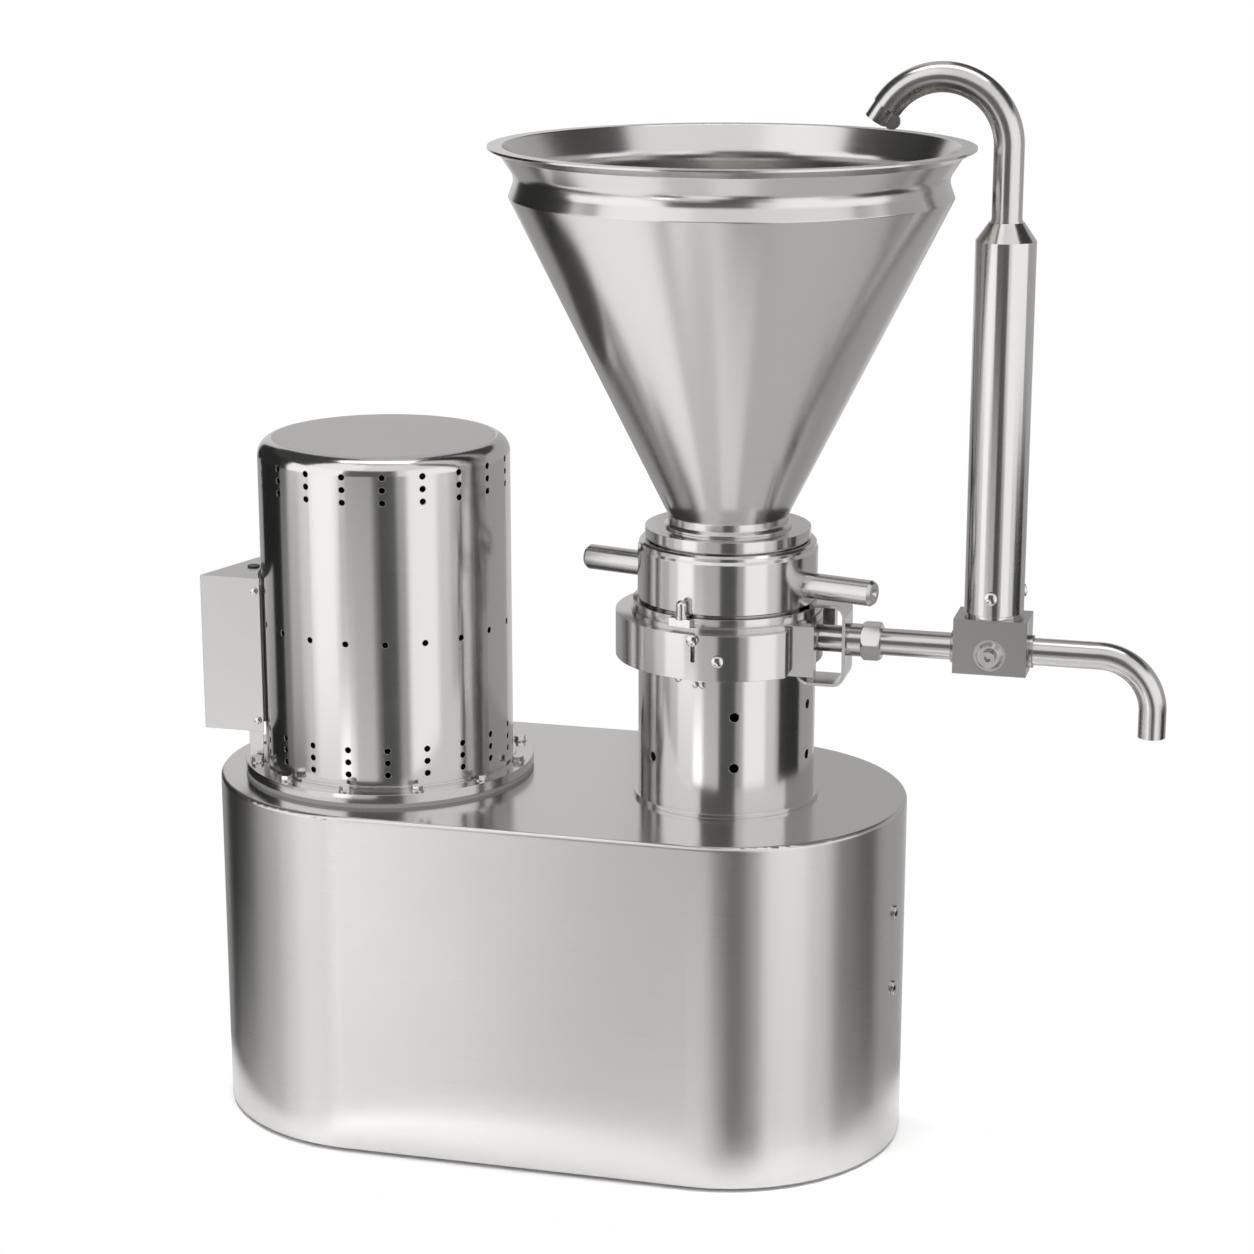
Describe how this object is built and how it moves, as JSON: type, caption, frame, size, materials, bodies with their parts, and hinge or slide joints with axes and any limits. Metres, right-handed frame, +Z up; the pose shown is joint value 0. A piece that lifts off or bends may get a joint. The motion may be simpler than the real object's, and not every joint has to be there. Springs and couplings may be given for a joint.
{
  "type": "colloid mill",
  "caption": "Vertical split colloid mill: cone hopper over a toothed rotor and stator, belt drive in a round-ended base, shrouded motor, valve block and return gooseneck.",
  "frame": {"origin": "floor level under the middle of the base, on the centre foot", "axes": "+Z up, +X from the motor to the mill and the outlet, -Y to the front"},
  "size_m": [0.9242, 0.4452, 1.036],
  "materials": {
    "base_steel": "satin brushed",
    "polished_steel": "polished",
    "hopper_steel": "satin polished",
    "box_steel": "satin brushed",
    "block_steel": "fine machined",
    "fastener_steel": "bright turned",
    "machined_steel": "machined",
    "pulley_iron": "turned",
    "motor_paint": "satin paint",
    "fan_plastic": "moulded",
    "rubber": "matt"
  },
  "bodies": {
    "frame": {"base_shell": "base_steel", "bottom_plate": "base_steel", "rubber_feet": "rubber", "base_side_screws": "fastener_steel", "shroud_gasket": "rubber", "shroud_flange": "polished_steel", "flange_bolts": "fastener_steel", "motor_shroud": "polished_steel", "motor_end_shield": "motor_paint", "motor_frame": "motor_paint", "motor_rear_shield": "motor_paint", "motor_bearings": "machined_steel", "fan_cowl": "motor_paint", "drive_belts": "rubber", "terminal_box": "box_steel", "terminal_box_cover": "box_steel", "terminal_box_screws": "fastener_steel", "box_saddle": "box_steel", "box_bracket": "box_steel", "blanking_plug": "fan_plastic", "mill_collar": "polished_steel", "mill_tube": "polished_steel", "tube_screws": "fastener_steel", "bearing_housing": "machined_steel", "spindle_bearings": "machined_steel", "discharge_housing": "block_steel", "shaft_seal": "rubber", "collar_flange": "polished_steel", "guide_key": "fastener_steel", "stop_pin": "fastener_steel", "clamp_ring": "polished_steel", "clamp_screws": "fastener_steel", "outlet_nipple": "polished_steel", "outlet_stirrup": "polished_steel", "union_nut": "polished_steel", "outlet_tube": "polished_steel", "valve_block": "block_steel", "spout": "polished_steel", "column_socket": "polished_steel"},
    "motor_rotor": {"motor_shaft": "machined_steel", "motor_fan": "fan_plastic", "motor_pulley": "pulley_iron"},
    "mill_rotor": {"mill_spindle": "machined_steel", "mill_pulley": "pulley_iron", "grinding_rotor": "machined_steel", "rotor_nut": "fastener_steel"},
    "adjuster": {"adjusting_ring": "polished_steel", "handle_left": "polished_steel", "handle_right": "polished_steel"},
    "stator_unit": {"stator": "machined_steel", "stator_carrier": "machined_steel", "feed_cap": "polished_steel", "hopper": "hopper_steel"},
    "valve_cock": {"valve_plug": "machined_steel", "plug_cap": "fastener_steel"},
    "return_pipe": {"return_column": "polished_steel", "column_screws": "fastener_steel", "gooseneck": "polished_steel", "nozzle_sleeve": "polished_steel"}
  },
  "joints": [
    {"name": "motor_spin", "type": "hinge", "parent": "frame", "child": "motor_rotor", "pos_m": [-0.174, 0, 0.34], "axis": [0, 0, 1], "continuous": true},
    {"name": "mill_spin", "type": "hinge", "parent": "frame", "child": "mill_rotor", "pos_m": [0.166, 0, 0.34], "axis": [0, 0, 1], "continuous": true},
    {"name": "ring_turn", "type": "hinge", "parent": "frame", "child": "adjuster", "pos_m": [0.166, 0, 0.534], "axis": [0, 0, 1], "range_deg": [-78, 78]},
    {"name": "stator_lift", "type": "slide", "parent": "frame", "child": "stator_unit", "axis": [0, 0, 1], "range_m": [-0.00066, 0.00066]},
    {"name": "valve_turn", "type": "hinge", "parent": "frame", "child": "valve_cock", "pos_m": [0.4185, 0, 0.498], "axis": [0, 1, 0], "range_deg": [0, 90]},
    {"name": "column_swivel", "type": "hinge", "parent": "frame", "child": "return_pipe", "pos_m": [0.4185, 0, 0.535], "axis": [0, 0, 1], "range_deg": [-100, 100]}
  ],
  "couplings": [
    {"joint": "mill_spin", "follows": "motor_spin", "ratio": 1.2},
    {"joint": "stator_lift", "follows": "ring_turn", "m_per_rad": 0.00047746}
  ]
}
